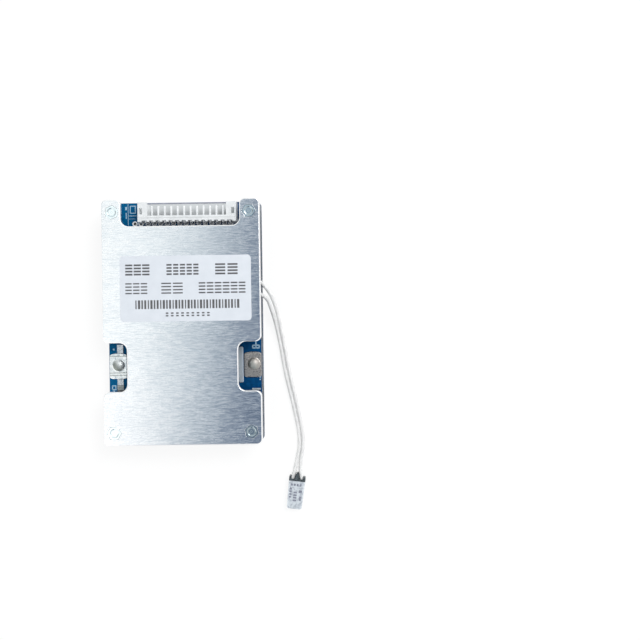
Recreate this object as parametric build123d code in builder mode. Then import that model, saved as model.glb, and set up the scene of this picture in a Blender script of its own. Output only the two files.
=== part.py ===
from build123d import *
import os
from math import radians, sqrt, tan

os.makedirs("parts", exist_ok=True)

# A battery management board: a circuit board clamped between two aluminium plates, with a
# header for the cell taps, two solder terminals and a thermal switch on a short lead.
# X is the board's width and Y its length, towards the header. Z is up, from the underside
# of the bottom plate. All sizes are in millimetres.

# The two plates, which share one rectangle
plate_width = 61.6
plate_length = 95.6
plate_corner_radius = 2.0
bottom_plate_thickness = 2.0
top_plate_thickness = 2.0
edge_break = 0.35

# The notch in the top plate that bares the header, with its room at each end of the header
header_notch_left_room = 6.0
header_notch_right_room = 1.4
header_notch_depth = 10.4
header_notch_inner_radius = 3.0
header_notch_mouth_radius = 2.2

# The notch on each long side that bares a terminal
terminal_notch_length = 19.0
left_notch_depth = 9.4
right_notch_depth = 9.0
terminal_notch_inner_radius = 3.0
terminal_notch_mouth_radius = 2.4
terminal_notch_front_inset = 30.4

# The circuit board, the insulating pad under it and the free height above it
board_thickness = 1.6
board_inset = 0.3
board_right_inset = 0.6
board_rear_inset = 0.2
insulator_thickness = 1.0
insulator_inset = 1.6
free_height = 6.0

# Blind standoffs pressed into the top plate, and the screws that reach them from below
fastener_inset_x = 4.2
fastener_inset_y = 4.95
thread_diameter = 3.0
standoff_hex = 4.8
standoff_turns = (21.0, 0.0, 0.0, 42.0)
standoff_head_height = 1.4
standoff_barrel_diameter = 4.2
standoff_tapped_depth = 6.0
standoff_dimple_diameter = 3.3
standoff_dimple_depth = 0.18
screw_head_diameter = 5.6
screw_length = 8.0
screw_sink = 0.1
recess_length = 3.0
recess_width = 0.65
recess_depth = 1.1
press_clearance = 0.03
screw_clearance = 0.2
fit_clearance = 0.05

# The header: right-angled square pins in an open-fronted shroud, as many as the plate's
# width has room for between the right inset and the rear left standoff
pin_pitch = 2.54
pin_size = 0.64
pin_drop = 2.1
pin_tip_setback = 0.8
pin_tip_chamfer = 0.15
pin_tail = 0.7
pin_row_gap = 0.15
header_right_inset = 9.3
header_setback = 1.3
pocket_wall = 0.2
header_end_margin = 2.8
header_depth = 6.7
header_height = 6.1
header_floor = 0.8
header_roof = 0.8
header_side = 0.75
header_back = 1.4
header_step_depth = 1.1
header_step_height = 0.2
window_depth = 4.8
window_end_margin = 3.9
slot_width = 1.25
slot_length = 2.4
slot_inset = 1.3
slot_setback = 3.1
comb_width = 0.95
comb_depth = 0.5
comb_height = 1.5
ear_width = 1.6
ear_depth = 0.5
spare_hole_offsets = (5.2, 2.8)
pin_hole_clearance = 0.145

# The label on the top plate, between the header's notch and the terminals' notches
label_left_margin = 7.1
label_right_margin = 3.6
label_rear_margin = 11.6
label_front_margin = 8.2
label_thickness = 0.1
label_corner_radius = 1.4

# The terminals: tinned pads with a solder dome, and the tinned tracks beside them
terminal_width = 6.3
terminal_length = 10.2
terminal_height = 0.45
terminal_corner_radius = 0.9
terminal_inset = 4.1
terminal_offset_y = 0.15
dome_radius = 2.4
dome_height = 1.2
right_dome_offset_x = 0.4
dome_offset_y = 0.3
busbar_width = 1.9
busbar_length = 14.2
busbar_height = 0.5
busbar_gap = 0.2
track_width = 2.4
track_height = 0.35
track_offset_x = 0.6
track_lengths = (3.3, 2.4)
track_gap = 0.1

# The power transistors: up to two columns back to back, with as many rows as have room
transistor_side_gap = 0.8
transistor_end_gap = 0.6
transistor_width = 10.2
transistor_body_length = 9.2
transistor_height = 4.4
transistor_tab_length = 1.3
transistor_tab_thickness = 1.3
transistor_lead_length = 4.9
transistor_lead_width = 0.8
transistor_lead_spacing = 5.08
transistor_lead_thickness = 0.5
transistor_lead_height = 2.4
transistor_back_gap = 0.5
transistor_draft = 4.0

# Chip parts, as (length, width, height) with the length between the two ends
large_chip = (6.3, 3.2, 0.7)
medium_chip = (5.0, 2.5, 0.6)
small_chip = (2.0, 1.25, 1.1)
chip_end_length = 0.6
chip_end_step = 0.04
shunt_count = 3
shunt_pitch = 4.6
balance_pitch = 4.1
balance_resistor_setback = 5.9
balance_switch_gap = 1.6
capacitor_count = 8
capacitor_pitch = 3.4
capacitor_gap = 3.0
chip_gap = 0.6
sense_right_inset = 2.8
sense_right_gap = 4.35
sense_left_inset = 4.8
sense_left_gap = 0.1

# Small three-legged transistors of the balance row
small_body = (2.9, 1.3, 1.0)
small_leg_width = 0.42
small_leg_reach = 0.55
small_leg_root = 0.3
small_leg_thickness = 0.15
small_leg_spacing = 1.9

# The cell monitor, a flat package with a row of legs on each long side
monitor_offset_x = 1.85
monitor_gap = 2.68
monitor_end_margin = 0.55
monitor_body_width = 5.3
monitor_height = 1.75
monitor_leg_count = 15
monitor_leg_pitch = 0.65
monitor_leg_width = 0.3
monitor_leg_thickness = 0.16
monitor_leg_reach = 1.2
monitor_standoff = 0.1

# The two clamp diodes
diode_x = (-12.0, 2.0)
diode_front_inset = 6.7
diode_body = (6.8, 5.8, 2.3)
diode_tab_width = 3.0
diode_tab_length = 0.6
diode_tab_root = 0.4
diode_tab_thickness = 0.5

# The thermal switch's lead: two wires side by side, each along its own points
wire_diameter = 1.5
outer_wire_points = (
    (24.2, 18.7, 5.5), (28.1, 16.5, 6.5), (31.9, 12.5, 7.2), (35.8, 6.7, 5.6),
    (38.0, -0.3, 1.7), (39.1, -10.2, 0.78), (40.92, -20.7, 0.78), (44.58, -36.2, 0.78),
    (46.23, -49.3, 0.78), (45.18, -56.7, 0.8), (44.8, -61.2, 1.1), (45.55, -64.12, 1.5),
)
inner_wire_points = (
    (24.2, 15.7, 5.5), (27.4, 13.8, 6.5), (30.7, 11.0, 7.2), (34.2, 6.0, 5.6),
    (36.4, -0.7, 1.7), (37.56, -10.5, 0.78), (39.38, -21.1, 0.78), (43.06, -36.4, 0.78),
    (44.67, -49.3, 0.78), (43.65, -56.5, 0.8), (42.55, -61.1, 1.1), (41.78, -63.65, 1.5),
)
arc_share = 0.45
joint_diameter = 2.8
joint_height = 1.4

# The thermal switch, lying flat, with its sealed end towards the wires
switch_x = 43.58
switch_y = -64.58
switch_turn = -7.0
switch_width = 6.6
switch_far_width = 6.0
switch_length = 11.2
switch_thickness = 3.0
switch_corner_radius = 0.9
switch_edge_radius = 0.5
seal_length = 1.9
seal_bump_width = 2.0
seal_bump_length = 1.4
seal_thickness = 2.6
seal_corner_radius = 0.4

# Heights of the stack, from the underside of the bottom plate
insulator_bottom = bottom_plate_thickness
board_bottom = insulator_bottom + insulator_thickness
board_top = board_bottom + board_thickness
top_plate_bottom = board_top + free_height
top_plate_top = top_plate_bottom + top_plate_thickness

# Places worked out from the sizes above
half_width = plate_width / 2
half_length = plate_length / 2
board_width = plate_width - board_inset - board_right_inset
board_length = plate_length - board_inset - board_rear_inset
board_middle = ((board_inset - board_right_inset) / 2, (board_inset - board_rear_inset) / 2)
fastener_x = half_width - fastener_inset_x
fastener_y = half_length - fastener_inset_y
fastener_places = {
    "rear_left": (-fastener_x, fastener_y),
    "rear_right": (fastener_x, fastener_y),
    "front_left": (-fastener_x, -fastener_y),
    "front_right": (fastener_x, -fastener_y),
}
header_left_inset = fastener_inset_x + standoff_hex / sqrt(3) + pocket_wall + header_notch_left_room
pin_row_room = plate_width - header_left_inset - header_right_inset - 2 * header_end_margin
pin_count = int(pin_row_room / pin_pitch) + 1
header_width = pin_pitch * (pin_count - 1) + 2 * header_end_margin
header_x = half_width - header_right_inset - header_width / 2
header_front = half_length - header_setback
header_rear = header_front - header_depth
pin_height = header_height - pin_drop
pin_row_y = header_rear - pin_row_gap - pin_size / 2
pin_xs = [header_x + pin_pitch * (i - (pin_count - 1) / 2) for i in range(pin_count)]
pin_hole_diameter = pin_size * sqrt(2) + pin_hole_clearance
spare_hole_xs = [pin_xs[0] - offset for offset in spare_hole_offsets]
terminal_notch_y = terminal_notch_front_inset - half_length
terminal_x = half_width - terminal_inset
terminal_y = terminal_notch_y + terminal_offset_y
board_plane = Plane.XY.offset(board_top)

# The parts between the header and the transistors, each row in front of the one before
resistor_row_y = pin_row_y - balance_resistor_setback
small_leg_end = small_body[1] / 2 + small_leg_reach
switch_row_y = resistor_row_y - medium_chip[0] / 2 - balance_switch_gap - small_leg_end
monitor_reach = monitor_body_width / 2 + monitor_leg_reach
monitor_x = header_x + monitor_offset_x
monitor_y = switch_row_y - small_leg_end - monitor_gap - monitor_reach
capacitor_y = monitor_y - monitor_reach - capacitor_gap - small_chip[1] / 2
diode_y = diode_front_inset - half_length


def finish(builder, name):
    """Label a finished piece and write it under its node's name."""
    builder.part.label = name
    export_step(builder.part, f"parts/{name}.step")


def corners_at(sketch, places):
    """The corners of a sketch that stand at the given places."""
    return [
        corner
        for corner in sketch.vertices()
        if any(abs(corner.X - x) < 0.01 and abs(corner.Y - y) < 0.01 for x, y in places)
    ]


def top_edges(builder):
    """The outline of a piece's highest face."""
    return builder.faces().sort_by(Axis.Z)[-1].edges()


# The bottom plate: a plain sheet, countersunk from below for the screws
with BuildPart() as bottom_plate:
    with BuildSketch():
        RectangleRounded(plate_width, plate_length, plate_corner_radius)
    extrude(amount=bottom_plate_thickness)
    chamfer(bottom_plate.faces().sort_by(Axis.Z)[0].edges(), edge_break)
    for x, y in fastener_places.values():
        with Locations(Plane(origin=(x, y, 0), z_dir=(0, 0, -1))):
            CounterSinkHole(
                radius=thread_diameter / 2 + screw_clearance,
                counter_sink_radius=screw_head_diameter / 2 + screw_sink + fit_clearance,
                depth=bottom_plate_thickness,
                counter_sink_angle=90,
            )
finish(bottom_plate, "bottom_plate")


# The insulating pad: soft sheet with screw holes and a slot over the header's pin tails
with BuildPart() as insulating_pad:
    with BuildSketch(Plane.XY.offset(insulator_bottom)):
        Rectangle(plate_width - 2 * insulator_inset, plate_length - 2 * insulator_inset)
        with Locations(*fastener_places.values()):
            Circle(thread_diameter / 2 + 2 * screw_clearance, mode=Mode.SUBTRACT)
        with Locations((header_x, pin_row_y)):
            SlotOverall(header_width, 4 * pin_size, mode=Mode.SUBTRACT)
    extrude(amount=insulator_thickness)
finish(insulating_pad, "insulating_pad")


# The circuit board: holes for the screws, for the pins and for the two spare places
with BuildPart() as circuit_board:
    with BuildSketch(Plane.XY.offset(board_bottom)):
        with Locations(board_middle):
            RectangleRounded(board_width, board_length, plate_corner_radius - board_inset)
        with Locations(*fastener_places.values()):
            Circle(thread_diameter / 2 + screw_clearance, mode=Mode.SUBTRACT)
        with Locations(*[(x, pin_row_y) for x in [*pin_xs, *spare_hole_xs]]):
            Circle(pin_hole_diameter / 2, mode=Mode.SUBTRACT)
    extrude(amount=board_thickness)
finish(circuit_board, "circuit_board")


# The top plate: three notches with rounded corners, and four hexagonal pockets
notch_left = header_x - header_width / 2 - header_notch_left_room
notch_right = header_x + header_width / 2 + header_notch_right_room
notch_floor = half_length - header_notch_depth
side_edges = (left_notch_depth - half_width, half_width - right_notch_depth)
side_low = terminal_notch_y - terminal_notch_length / 2
side_high = terminal_notch_y + terminal_notch_length / 2
with BuildPart() as top_plate:
    with BuildSketch(Plane.XY.offset(top_plate_bottom)) as outline:
        RectangleRounded(plate_width, plate_length, plate_corner_radius)
        with Locations(((notch_left + notch_right) / 2, half_length)):
            Rectangle(notch_right - notch_left, 2 * header_notch_depth, mode=Mode.SUBTRACT)
        for side, depth in ((-1, left_notch_depth), (1, right_notch_depth)):
            with Locations((side * half_width, terminal_notch_y)):
                Rectangle(2 * depth, terminal_notch_length, mode=Mode.SUBTRACT)
        inner_header = [(notch_left, notch_floor), (notch_right, notch_floor)]
        fillet(corners_at(outline, inner_header), header_notch_inner_radius)
        mouth_header = [(notch_left, half_length), (notch_right, half_length)]
        fillet(corners_at(outline, mouth_header), header_notch_mouth_radius)
        inner_sides = [(x, y) for x in side_edges for y in (side_low, side_high)]
        fillet(corners_at(outline, inner_sides), terminal_notch_inner_radius)
        mouth_sides = [(s * half_width, y) for s in (-1, 1) for y in (side_low, side_high)]
        fillet(corners_at(outline, mouth_sides), terminal_notch_mouth_radius)
    extrude(amount=top_plate_thickness)
    chamfer(top_edges(top_plate), edge_break)
    with BuildSketch(Plane.XY.offset(top_plate_top)):
        for (x, y), turn in zip(fastener_places.values(), standoff_turns):
            with Locations((x, y)):
                RegularPolygon(standoff_hex / 2 + press_clearance, 6, major_radius=False, rotation=turn)
    extrude(amount=-standoff_head_height, mode=Mode.SUBTRACT)
    with BuildSketch(Plane.XY.offset(top_plate_top)):
        with Locations(*fastener_places.values()):
            Circle(standoff_barrel_diameter / 2 + press_clearance)
    extrude(amount=-top_plate_thickness, mode=Mode.SUBTRACT)
finish(top_plate, "top_plate")


def standoff(name, x, y, turn):
    """A blind standoff: hexagonal head flush in the plate, barrel down to the board."""
    with BuildPart() as piece:
        with BuildSketch(Plane.XY.offset(top_plate_top)):
            with Locations((x, y)):
                RegularPolygon(standoff_hex / 2, 6, major_radius=False, rotation=turn)
        extrude(amount=-standoff_head_height)
        with BuildSketch(Plane.XY.offset(board_top)):
            with Locations((x, y)):
                Circle(standoff_barrel_diameter / 2)
        extrude(amount=top_plate_top - board_top - standoff_head_height)
        with Locations(Plane(origin=(x, y, board_top), z_dir=(0, 0, -1))):
            Hole(thread_diameter / 2 + fit_clearance, depth=standoff_tapped_depth)
        with BuildSketch(Plane.XY.offset(top_plate_top)):
            with Locations((x, y)):
                Circle(standoff_dimple_diameter / 2)
        extrude(amount=-standoff_dimple_depth, taper=45, mode=Mode.SUBTRACT)
    finish(piece, name)


def screw(name, x, y):
    """A countersunk screw from below, with a cross recess in its head."""
    head_radius = screw_head_diameter / 2
    shank_radius = thread_diameter / 2
    cone_top = screw_sink + head_radius - shank_radius
    with BuildPart() as piece:
        with BuildSketch(Plane(origin=(x, y, 0), x_dir=(1, 0, 0), z_dir=(0, -1, 0))):
            with BuildLine():
                Polyline(
                    (0, screw_sink),
                    (head_radius, screw_sink),
                    (shank_radius, cone_top),
                    (shank_radius, screw_sink + screw_length),
                    (0, screw_sink + screw_length),
                    close=True,
                )
            make_face()
        revolve(axis=Axis((x, y, 0), (0, 0, 1)))
        with BuildSketch(Plane.XY.offset(screw_sink)):
            with Locations((x, y)):
                Rectangle(recess_length, recess_width)
                Rectangle(recess_width, recess_length)
        extrude(amount=recess_depth, taper=12, mode=Mode.SUBTRACT)
    finish(piece, name)


for (place, (x, y)), turn in zip(fastener_places.items(), standoff_turns):
    standoff(f"standoff_{place}", x, y, turn)
    screw(f"screw_{place}", x, y)


# The header's housing: a shroud open at the front, with a window over the pins, a slot at
# each end, a stepped rear, a comb between the pins and two short ears behind
header_middle_y = (header_front + header_rear) / 2
cavity_depth = header_depth - header_back
cavity_height = header_height - header_floor - header_roof
slot_x = header_width / 2 - slot_inset
comb_xs = [x + pin_pitch / 2 for x in pin_xs[:-1]]
with BuildPart() as header_housing:
    with BuildSketch(board_plane):
        with Locations((header_x, header_middle_y)):
            Rectangle(header_width, header_depth)
        with Locations(*[(header_x + s * (header_width - ear_width) / 2, header_rear) for s in (-1, 1)]):
            Rectangle(ear_width, 2 * ear_depth)
    extrude(amount=header_height)
    chamfer(top_edges(header_housing).filter_by(Axis.Y), edge_break)
    with BuildSketch(board_plane.offset(header_floor)):
        with Locations((header_x, header_front - cavity_depth / 2)):
            Rectangle(header_width - 2 * header_side, cavity_depth)
    extrude(amount=cavity_height, mode=Mode.SUBTRACT)
    with BuildSketch(board_plane.offset(header_height)):
        with Locations((header_x, header_front)):
            Rectangle(header_width - 2 * window_end_margin, 2 * window_depth)
        with Locations(*[(header_x + s * slot_x, header_front - slot_setback) for s in (-1, 1)]):
            Rectangle(slot_width, slot_length)
    extrude(amount=-header_roof, mode=Mode.SUBTRACT)
    with BuildSketch(board_plane.offset(header_height)):
        with Locations((header_x, header_rear)):
            Rectangle(header_width, 2 * header_step_depth)
    extrude(amount=-header_step_height, mode=Mode.SUBTRACT)
    with BuildSketch(board_plane.offset(header_height - header_step_height)):
        with Locations(*[(x, header_rear) for x in comb_xs]):
            Rectangle(comb_width, 2 * comb_depth)
    extrude(amount=-comb_height)
    with BuildSketch(Plane.XZ.offset(-header_rear)):
        with Locations(*[(x, board_top + pin_height) for x in pin_xs]):
            Rectangle(pin_size + 2 * fit_clearance, pin_size + 2 * fit_clearance)
    extrude(amount=-header_back, mode=Mode.SUBTRACT)
finish(header_housing, "header_housing")


# The header's pins: straight through the rear wall, then down through the board
pin_bend_radius = pin_row_gap + pin_size / 2
with BuildPart() as header_pins:
    for x in pin_xs:
        with BuildSketch(Plane.YZ.offset(x - pin_size / 2)):
            with BuildLine():
                FilletPolyline(
                    (header_front - pin_tip_setback, board_top + pin_height),
                    (pin_row_y, board_top + pin_height),
                    (pin_row_y, board_bottom - pin_tail),
                    radius=pin_bend_radius,
                )
            trace(line_width=pin_size)
        extrude(amount=pin_size)
    chamfer(header_pins.faces().group_by(Axis.Y)[-1].edges(), pin_tip_chamfer)
finish(header_pins, "header_pins")


# The label: a thin rounded sticker
label_left = -half_width + label_left_margin
label_right = half_width - label_right_margin
label_front = side_high + label_front_margin
label_rear = notch_floor - label_rear_margin
with BuildPart() as label:
    with BuildSketch(Plane.XY.offset(top_plate_top)):
        with Locations(((label_left + label_right) / 2, (label_front + label_rear) / 2)):
            RectangleRounded(label_right - label_left, label_rear - label_front, label_corner_radius)
    extrude(amount=label_thickness)
finish(label, "label")


def terminal(name, x, dome_x):
    """A tinned pad with soft edges and a solder dome."""
    dome_y = terminal_y + dome_offset_y
    with BuildPart() as piece:
        with BuildSketch(board_plane):
            with Locations((x, terminal_y)):
                RectangleRounded(terminal_width, terminal_length, terminal_corner_radius)
        extrude(amount=terminal_height)
        fillet(top_edges(piece), terminal_height / 2)
        dome_foot = board_plane.offset(terminal_height).origin.Z
        with BuildSketch(Plane(origin=(dome_x, dome_y, dome_foot), x_dir=(1, 0, 0), z_dir=(0, -1, 0))):
            with BuildLine():
                Line((0, 0), (dome_radius, 0))
                TangentArc((0, dome_height), (dome_radius, 0), tangent=(1, 0))
                Line((0, dome_height), (0, 0))
            make_face()
        revolve(axis=Axis((dome_x, dome_y, 0), (0, 0, 1)))
    finish(piece, name)


terminal("terminal_left", -terminal_x, -terminal_x)
terminal("terminal_right", terminal_x, terminal_x + right_dome_offset_x)


# The busbar: a tinned copper strip beside the right terminal
busbar_right = terminal_x - terminal_width / 2 - busbar_gap
busbar_left = busbar_right - busbar_width
with BuildPart() as busbar:
    with BuildSketch(board_plane):
        with Locations((busbar_right - busbar_width / 2, terminal_y)):
            RectangleRounded(busbar_width, busbar_length, busbar_height)
    extrude(amount=busbar_height)
    chamfer(top_edges(busbar), busbar_height / 4)
finish(busbar, "busbar")


# The tinned tracks that run on from the left terminal's two ends
track_x = -terminal_x + track_offset_x
track_ys = [
    terminal_y + side * (terminal_length / 2 + track_gap + length / 2)
    for side, length in zip((1, -1), track_lengths)
]
with BuildPart() as track_strips:
    for y, length in zip(track_ys, track_lengths):
        with BuildSketch(board_plane):
            with Locations((track_x, y)):
                Rectangle(track_width, length)
        extrude(amount=track_height)
finish(track_strips, "track_strips")


# The shunts stand between the busbar and the right column's legs, so the columns follow
package_reach = transistor_back_gap + transistor_tab_length + transistor_body_length
shunt_x = busbar_left - chip_gap - large_chip[0] / 2
legs_end = shunt_x - large_chip[0] / 2 - chip_gap
power_x = legs_end - transistor_lead_length - package_reach
transistor_pitch = transistor_width + transistor_side_gap
columns_room = legs_end + terminal_x - terminal_width / 2 - transistor_end_gap
column_count = int(columns_room / (package_reach + transistor_lead_length))
room_in_front = terminal_notch_y - diode_y - diode_body[1] / 2
room_behind = capacitor_y - small_chip[1] / 2 - terminal_notch_y
rows_room = 2 * (min(room_in_front, room_behind) - transistor_end_gap)
transistor_rows = int((rows_room + transistor_side_gap) / transistor_pitch)


def power_transistor(name, side, y):
    """A flat power transistor: moulded body on its metal tab, two bent legs outwards."""
    local = Plane(
        origin=(power_x + side * transistor_back_gap, y, board_top), x_dir=(side, 0, 0), z_dir=(0, 0, 1)
    )
    body_start = transistor_tab_length
    body_end = body_start + transistor_body_length
    slug_length = body_end - 2 * transistor_tab_thickness
    slug_width = transistor_width - transistor_tab_thickness
    leg_height = transistor_lead_height
    with BuildPart() as body:
        with BuildSketch(local):
            with Locations(((body_start + body_end) / 2, 0)):
                Rectangle(transistor_body_length, transistor_width)
        extrude(amount=transistor_height, taper=transistor_draft)
        with BuildSketch(local):
            with Locations((slug_length / 2, 0)):
                Rectangle(slug_length, slug_width)
        extrude(amount=transistor_tab_thickness, mode=Mode.SUBTRACT)
        with BuildSketch(local.offset(leg_height)):
            with Locations(*[(body_end, s * transistor_lead_spacing / 2) for s in (-1, 1)]):
                Rectangle(2 * transistor_tab_thickness, transistor_lead_width)
        extrude(amount=transistor_lead_thickness, mode=Mode.SUBTRACT)
    finish(body, f"{name}_body")

    leg_end = body_end + transistor_lead_length
    leg_middle = (body_end + leg_end) / 2
    thick = transistor_lead_thickness
    with BuildPart() as frame:
        with BuildSketch(local):
            with Locations((slug_length / 2, 0)):
                Rectangle(slug_length, slug_width)
        extrude(amount=transistor_tab_thickness)
        for s in (-1, 1):
            start = s * transistor_lead_spacing / 2 - transistor_lead_width / 2
            side_plane = Plane(
                origin=local.from_local_coords((0, start if side > 0 else -start, 0)),
                x_dir=(side, 0, 0),
                z_dir=(0, -side, 0),
            )
            with BuildSketch(side_plane):
                with BuildLine():
                    Polyline(
                        (body_end - transistor_tab_thickness, leg_height),
                        (leg_middle - thick, leg_height),
                        (leg_middle, 0),
                        (leg_end, 0),
                        (leg_end, thick),
                        (leg_middle + thick, thick),
                        (leg_middle, leg_height + thick),
                        (body_end - transistor_tab_thickness, leg_height + thick),
                        close=True,
                    )
                make_face()
            extrude(amount=-transistor_lead_width if side > 0 else transistor_lead_width)
    finish(frame, f"{name}_frame")


transistor_ys = [
    terminal_notch_y + transistor_pitch * (i - (transistor_rows - 1) / 2) for i in range(transistor_rows)
]
columns = (("right", 1), ("left", -1))[:column_count]
for column, side in columns:
    for row, y in enumerate(transistor_ys, start=1):
        power_transistor(f"transistor_{column}_{row}", side, y)


# The thermal pad: soft sheet between the transistors and the top plate
pad_reach = package_reach - transistor_height / 4
pad_edges = [power_x + side * reach for _, side in columns for reach in (0, pad_reach)]
pad_left, pad_right = min(pad_edges), max(pad_edges)
with BuildPart() as thermal_pad:
    with BuildSketch(board_plane.offset(transistor_height)):
        with Locations(((pad_left + pad_right) / 2, terminal_notch_y)):
            Rectangle(pad_right - pad_left, transistor_pitch * (transistor_rows - 1) + transistor_width)
    extrude(amount=free_height - transistor_height)
finish(thermal_pad, "thermal_pad")


def chip_group(name, places, size, along_x):
    """Chip parts on the board: a block with a slightly raised metal end each way."""
    length, width, height = size
    block = (length, width) if along_x else (width, length)
    step = 2 * chip_end_step
    cap = (chip_end_length, width + step) if along_x else (width + step, chip_end_length)
    reach = (length - chip_end_length) / 2
    shift = (reach, 0) if along_x else (0, reach)
    ends = [(x + s * shift[0], y + s * shift[1]) for x, y in places for s in (-1, 1)]
    with BuildPart() as group:
        with BuildSketch(board_plane):
            with Locations(*places):
                Rectangle(*block)
        extrude(amount=height)
        with BuildSketch(board_plane):
            with Locations(*ends):
                Rectangle(*cap)
        extrude(amount=height + chip_end_step)
    finish(group, name)


# The shunts, between the right column's legs and the busbar
for i in range(shunt_count):
    y = terminal_y + shunt_pitch * (i - (shunt_count - 1) / 2)
    chip_group(f"shunt_{i + 1}", [(shunt_x, y)], large_chip, along_x=True)

# The sense resistors in front of the terminals, half under the top plate
terminal_front = terminal_y - terminal_length / 2
track_front = terminal_front - track_gap - track_lengths[1]
sense_right = (half_width - sense_right_inset, terminal_front - sense_right_gap - large_chip[0] / 2)
sense_left = (-half_width + sense_left_inset, track_front - sense_left_gap - medium_chip[0] / 2)
chip_group("sense_resistor_right", [sense_right], large_chip, along_x=False)
chip_group("sense_resistor_left", [sense_left], medium_chip, along_x=False)

# The balance resistors in a row along the header, and the capacitors by the monitor
balance_count = int(header_width / balance_pitch) + 1
balance_xs = [header_x + balance_pitch * (i - (balance_count - 1) / 2) for i in range(balance_count)]
balance_places = [(x, resistor_row_y) for x in balance_xs]
chip_group("balance_resistors", balance_places, medium_chip, along_x=False)
capacitor_places = [
    (monitor_x + capacitor_pitch * (i - (capacitor_count - 1) / 2), capacitor_y)
    for i in range(capacitor_count)
]
chip_group("capacitors", capacitor_places, small_chip, along_x=True)


# The balance transistors: small moulded bodies with one leg up and two legs down
body_x, body_y, body_z = small_body
small_places = [(x, switch_row_y) for x in balance_xs]
leg_places = [
    (x + dx, y + side * (body_y + small_leg_reach - small_leg_root) / 2)
    for x, y in small_places
    for side, dx in ((1, 0), (-1, -small_leg_spacing / 2), (-1, small_leg_spacing / 2))
]
with BuildPart() as balance_transistors:
    with BuildSketch(board_plane):
        with Locations(*small_places):
            Rectangle(body_x, body_y)
    extrude(amount=body_z, taper=5)
    with BuildSketch(board_plane):
        with Locations(*leg_places):
            Rectangle(small_leg_width, small_leg_reach + small_leg_root)
    extrude(amount=small_leg_thickness)
finish(balance_transistors, "balance_transistors")


# The cell monitor's body, and its legs as bent strips on both long sides
monitor_body_length = monitor_leg_pitch * (monitor_leg_count - 1) + 2 * monitor_end_margin
leg_xs = [
    monitor_x + monitor_leg_pitch * (i - (monitor_leg_count - 1) / 2) for i in range(monitor_leg_count)
]
with BuildPart() as monitor_chip:
    with BuildSketch(board_plane.offset(monitor_standoff)):
        with Locations((monitor_x, monitor_y)):
            Rectangle(monitor_body_length, monitor_body_width)
    extrude(amount=monitor_height - monitor_standoff, taper=6)
finish(monitor_chip, "monitor_chip")

leg_level = monitor_height / 2
draft_in = (leg_level - monitor_standoff) * tan(radians(6))
leg_root = monitor_body_width / 2 - draft_in + fit_clearance
leg_tip = monitor_body_width / 2 + monitor_leg_reach
leg_knee = (leg_root + leg_tip) / 2
with BuildPart() as monitor_legs:
    for side in (-1, 1):
        for x in leg_xs:
            leg_plane = Plane(
                origin=(x - side * monitor_leg_width / 2, monitor_y, board_top),
                x_dir=(0, side, 0),
                z_dir=(side, 0, 0),
            )
            with BuildSketch(leg_plane):
                with BuildLine():
                    Polyline(
                        (leg_root, leg_level),
                        (leg_knee, leg_level),
                        (leg_knee, 0),
                        (leg_tip, 0),
                        (leg_tip, monitor_leg_thickness),
                        (leg_knee + monitor_leg_thickness, monitor_leg_thickness),
                        (leg_knee + monitor_leg_thickness, leg_level + monitor_leg_thickness),
                        (leg_root, leg_level + monitor_leg_thickness),
                        close=True,
                    )
                make_face()
            extrude(amount=monitor_leg_width)
finish(monitor_legs, "monitor_legs")


# The clamp diodes: moulded blocks with a metal tab under each end
diode_places = [(x, diode_y) for x in diode_x]
diode_tab_shift = (diode_body[0] + diode_tab_length - diode_tab_root) / 2
with BuildPart() as clamp_diodes:
    with BuildSketch(board_plane):
        with Locations(*diode_places):
            Rectangle(diode_body[0], diode_body[1])
    extrude(amount=diode_body[2], taper=6)
    with BuildSketch(board_plane):
        with Locations(*[(x + s * diode_tab_shift, y) for x, y in diode_places for s in (-1, 1)]):
            Rectangle(diode_tab_length + diode_tab_root, diode_tab_width)
    extrude(amount=diode_tab_thickness)
finish(clamp_diodes, "clamp_diodes")


def wire_radii(points):
    """The arc at each inner point: as large as its two runs allow."""
    corners = [Vector(*point) for point in points]
    radii = []
    for before, here, after in zip(corners, corners[1:], corners[2:]):
        turn = (here - before).get_angle(after - here)
        run = min((here - before).length, (after - here).length)
        radii.append(arc_share * run / tan(radians(turn / 2)))
    return radii


def lead_wire(name, points):
    """One wire of the lead: a plain tube along straight runs and tangent arcs."""
    radii = wire_radii(points)
    with BuildPart() as wire:
        with BuildLine() as route:
            FilletPolyline(*points, radius=radii)
        with BuildSketch(Plane(origin=points[0], z_dir=Vector(*points[1]) - Vector(*points[0]))):
            Circle(wire_diameter / 2)
        sweep()
    length = sum(edge.length for edge in route.edges())
    section = 3.14159265 * wire_diameter**2 / 4
    print(name, "radii", [round(r, 1) for r in radii])
    print(name, "length", round(length, 2), "volume ratio", round(wire.part.volume / (section * length), 5))
    finish(wire, name)


lead_wire("lead_wire_outer", outer_wire_points)
lead_wire("lead_wire_inner", inner_wire_points)


# The lead's solder joints: a low dome on the board that takes the end of each wire
with BuildPart() as lead_joints:
    for points in (outer_wire_points, inner_wire_points):
        start = Vector(*points[0])
        along = (Vector(*points[1]) - start).normalized()
        with BuildSketch(Plane(origin=(start.X, start.Y, board_top), x_dir=(1, 0, 0), z_dir=(0, -1, 0))):
            with BuildLine():
                Line((0, 0), (joint_diameter / 2, 0))
                TangentArc((0, joint_height), (joint_diameter / 2, 0), tangent=(1, 0))
                Line((0, joint_height), (0, 0))
            make_face()
        revolve(axis=Axis((start.X, start.Y, 0), (0, 0, 1)))
        with BuildSketch(Plane(origin=start, z_dir=along)):
            Circle(wire_diameter / 2 + fit_clearance)
        extrude(amount=joint_diameter, mode=Mode.SUBTRACT)
finish(lead_joints, "lead_joints")


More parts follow.
